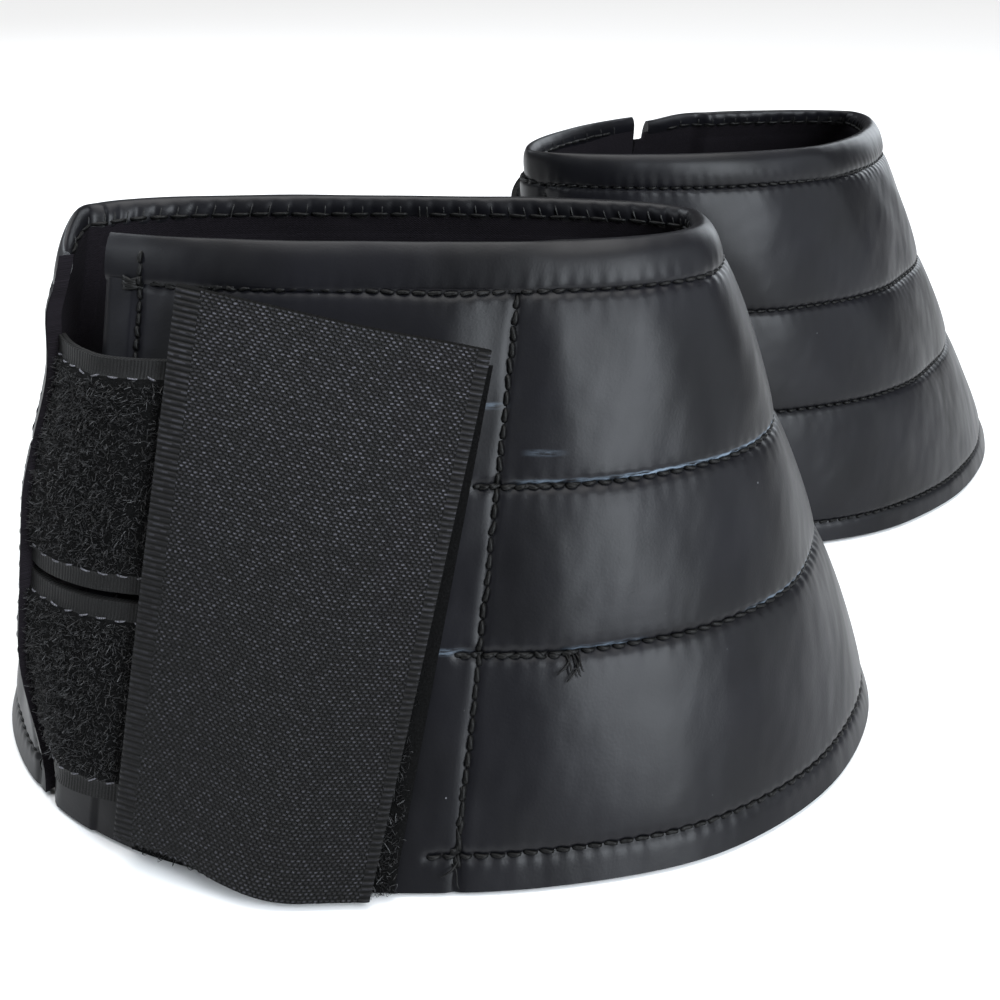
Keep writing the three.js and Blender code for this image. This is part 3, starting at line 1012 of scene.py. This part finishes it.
for boot in boots:
    heights = columns(PANEL_FOOT, PANEL_HEAD, 2)[:, None]
    share = columns(0, PANEL_WIDTH, 2) / PANEL_WIDTH
    stations = PANEL_LOW + share * (PANEL_WIDTH + PANEL_LEAN * heights)
    panel = sheet_piece(
        f"{boot.name}_loop_panel_pile",
        boot.point(stations, heights, PANEL_DEPTH),
        boot.point(stations, heights, 0.6),
        np.stack(np.broadcast_arrays(stations, heights), -1) * mm,
        pile,
    )
    fasten(panel, boot, "main", "loop_pile", "loop_panel")
    flat = (PANEL_WIDTH * mm, PANEL_LENGTH * mm)
    # The pile is thicker along the strip that shows.
    edge = scatter(boot, 80, PANEL_HIGH, PANEL_FOOT, 60, panel_surface, 900)
    count = int(0.8 * PANEL_WIDTH * PANEL_LENGTH)
    rest = scatter(boot, PANEL_LOW, 88, PANEL_FOOT, PANEL_HEAD, panel_surface, count)
    places = [np.concatenate(pair) for pair in zip(edge, rest)]
    points, faces = loops(*places, 0.8, 1.9)
    fuzz = make_piece(f"{boot.name}_loop_panel_fibres", points, faces, points[:, :2], fibres)
    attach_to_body(fuzz, f"{boot.name}_main")


# --- Hook flap ---------------------------------------------------------------------------------
# A wide piece of hook tape, sewn down along its right edge and pressed over the straps. Its back
# is a bird's-eye weave between two ribbed edges, and both ends are cut with hot shears.
FREE, SEWN_FOOT, SEWN_HEAD = 24, 85, 99  # stations of its side edges
FOOT_FREE, FOOT_SEWN, HEAD_FREE, HEAD_SEWN = 7, 1, 127, 113  # heights of its corners
FLAP_WIDTH, FLAP_LENGTH = 68, 120
FLAP_THICK = 1.7
RIBBED = 5.2  # width of the ribbed band along its free edge
WEAVE_ROW, WEAVE_COLUMN = 0.76, 1.35


def weave_finish():
    f = Finish("hook_tape_weave")
    across, along = f.across_and_along()
    wander = (f.noise(f.cut(), 1.6) - 0.5) * (0.5 * mm)
    row = (along + wander) / (WEAVE_ROW * mm)
    number = row.call("FLOOR")
    shift = number.call("MODULO", 2) * 0.5
    column = (across + wander) / (WEAVE_COLUMN * mm) + shift
    inside_row = (row.call("FRACT") * math.pi).call("SINE")
    inside_cell = (column.call("FRACT") * math.pi).call("SINE")
    knot = inside_row * inside_cell
    address = f.node("ShaderNodeCombineXYZ", None, {0: column.call("FLOOR"), 1: number})
    glint_pick = f.node("ShaderNodeTexWhiteNoise", {"noise_dimensions": "2D"}, {"Vector": address})
    ribs = (along * (2 * math.pi / (1.25 * mm))).call("SINE") * 0.5 + 0.5
    left = 1 - across.rise(RIBBED * mm, (RIBBED + 0.3) * mm)
    edge = left + across.rise((FLAP_WIDTH - 3) * mm, (FLAP_WIDTH - 2.7) * mm)
    relief = knot * (1 - edge) + ribs * edge
    fuzz = f.noise(f.cut(), 0.35, 3)
    # Painted light: the colour is lighter on the tops of the knots as painted glints, near black in the
    # gaps between rows as painted shade, and lighter towards the flap's head as painted light from above.
    lit = 0.45 + along.rise(20 * mm, 115 * mm) * 0.55
    painted_glints = (glint_pick * glint_pick * 0.8 + 0.2) * relief.rise(0.45, 0.95) * (0.5 + fuzz)
    painted_glints = painted_glints * (1 - edge * 0.6) * lit
    colour = f.mix(painted_glints, grey(0.0008), grey(0.075, 0.12))
    normal = f.bump(relief + fuzz * 0.25, 0.3)
    return f.done(base_color=colour, roughness=0.5, normal=normal, specular_ior_level=0.12)


weave = weave_finish()


def flap_grid(boot, across, up):
    """Places on the flap. across runs from its free edge to the sewn one, up from foot to head."""
    foot = FOOT_SEWN + (FOOT_FREE - FOOT_SEWN) * (1 - ease(across, 0.15, 0.75))
    height = foot + (HEAD_FREE + (HEAD_SEWN - HEAD_FREE) * across - foot) * up
    sewn = SEWN_FOOT + (SEWN_HEAD - SEWN_FOOT) * (height - FOOT_SEWN) / (HEAD_SEWN - FOOT_SEWN)
    station = FREE + (sewn - FREE) * across
    root = 3.6 * ease(across, 0.5, 1)
    drape = 0.8 * (1 - across) ** 3 + 0.5 * np.sin(3 * up + 2 * across) * (1 - across)
    return station, height, 7.0 - root + drape


for boot in boots:
    across, up = np.meshgrid(np.linspace(0, 1, 110), np.linspace(0, 1, 190))
    station, height, depth = flap_grid(boot, across, up)
    scallop = 0.7 * np.abs(np.sin(across * FLAP_WIDTH * math.pi / 2.1)) * (1 - ease(across, 0.3, 0.45))
    height = height + scallop * (1 - ease(up, 0, 0.02))
    thick = FLAP_THICK * (1 - 0.5 * (ease(up, 0.012, 0) + ease(up, 0.988, 1)))
    rounded = 0.25 * (1 - ease(np.minimum(across, 1 - across), 0, 0.012))
    cut = np.stack([across * FLAP_WIDTH, up * FLAP_LENGTH], -1) * mm
    flap = sheet_piece(
        f"{boot.name}_hook_flap_tape",
        boot.point(station, height, depth + FLAP_THICK - rounded),
        boot.point(station, height, depth + rounded),
        cut,
        weave,
    )
    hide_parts(f"{boot.name}_hook_flap")
    start, end = (
        boot.point(*(v[0] for v in flap_grid(boot, np.array([share]), np.array([0.5]))))
        for share in (0.985, 0.86)
    )
    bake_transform(flap)


# --- Studio ------------------------------------------------------------------------------------
# A white floor under large soft lamps, and a camera a little above the front boot.
white = Finish("sweep")
paper = white.done(base_color=(0.86, 0.86, 0.86, 1), roughness=0.9, specular_ior_level=0.1)
sides = (-60, 60)
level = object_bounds()[0].z - 0.0005
corners = np.array([(x, y, level) for y in sides for x in sides])
floor = make_piece("floor", corners, grid_faces(np.arange(4).reshape(2, 2)), corners[:, :2], paper)

world = bpy.data.worlds.new("studio")
world.use_nodes = True
world.node_tree.nodes["Background"].inputs["Color"].default_value = (1, 1, 1, 1)
world.node_tree.nodes["Background"].inputs["Strength"].default_value = 0.07
bpy.context.scene.world = world
bpy.context.scene.view_settings.view_transform = "Standard"


AIM_HEIGHT = 0.08  # the lamps face this point above the middle of the floor


def lamp(name, azimuth, away, height, size, radiance):
    """A soft box on a stand, facing the boots. Azimuth in degrees from the row's right-hand side."""
    data = bpy.data.lights.new(name, "AREA")
    data.shape = "RECTANGLE"
    data.size, data.size_y = size
    data.energy = radiance * math.pi * size[0] * size[1]
    data.color = (0.88, 0.94, 1)
    made = bpy.data.objects.new(name, data)
    turn = math.radians(azimuth)
    made.location = (away * math.cos(turn), away * math.sin(turn), height)
    aim = Vector((0, 0, AIM_HEIGHT)) - made.location
    made.rotation_euler = aim.to_track_quat("-Z", "Y").to_euler()
    bpy.context.scene.collection.objects.link(made)


lamp("key", -54, 1.5, 0.9, (0.56, 1.3), 19.3)
lamp("right", -7, 1.1, 0.5, (0.3, 0.9), 2.7)
lamp("rim", 54, 1.6, 0.6, (0.5, 1.0), 5.2)
lamp("left", -152, 1.5, 1.1, (0.5, 0.4), 10)
lamp("back", 150, 1.6, 1.2, (1.2, 0.7), 7)
overhead = bpy.data.lights.new("overhead", "SUN")
overhead.energy = 3.0
overhead.angle = math.radians(50)
sky = bpy.data.objects.new("overhead", overhead)
sky.rotation_euler = (math.radians(-8), 0, 0)
bpy.context.scene.collection.objects.link(sky)

data = bpy.data.cameras.new("camera")
data.lens = 46.24
camera = bpy.data.objects.new("camera", data)
front = boots[0].origin
camera.location = (front[0] + 16.9 * mm, front[1] - 346 * mm, 205 * mm)
camera.rotation_euler = (math.radians(90 - 24.18), 0, 0)
bpy.context.scene.collection.objects.link(camera)
bpy.context.scene.camera = camera
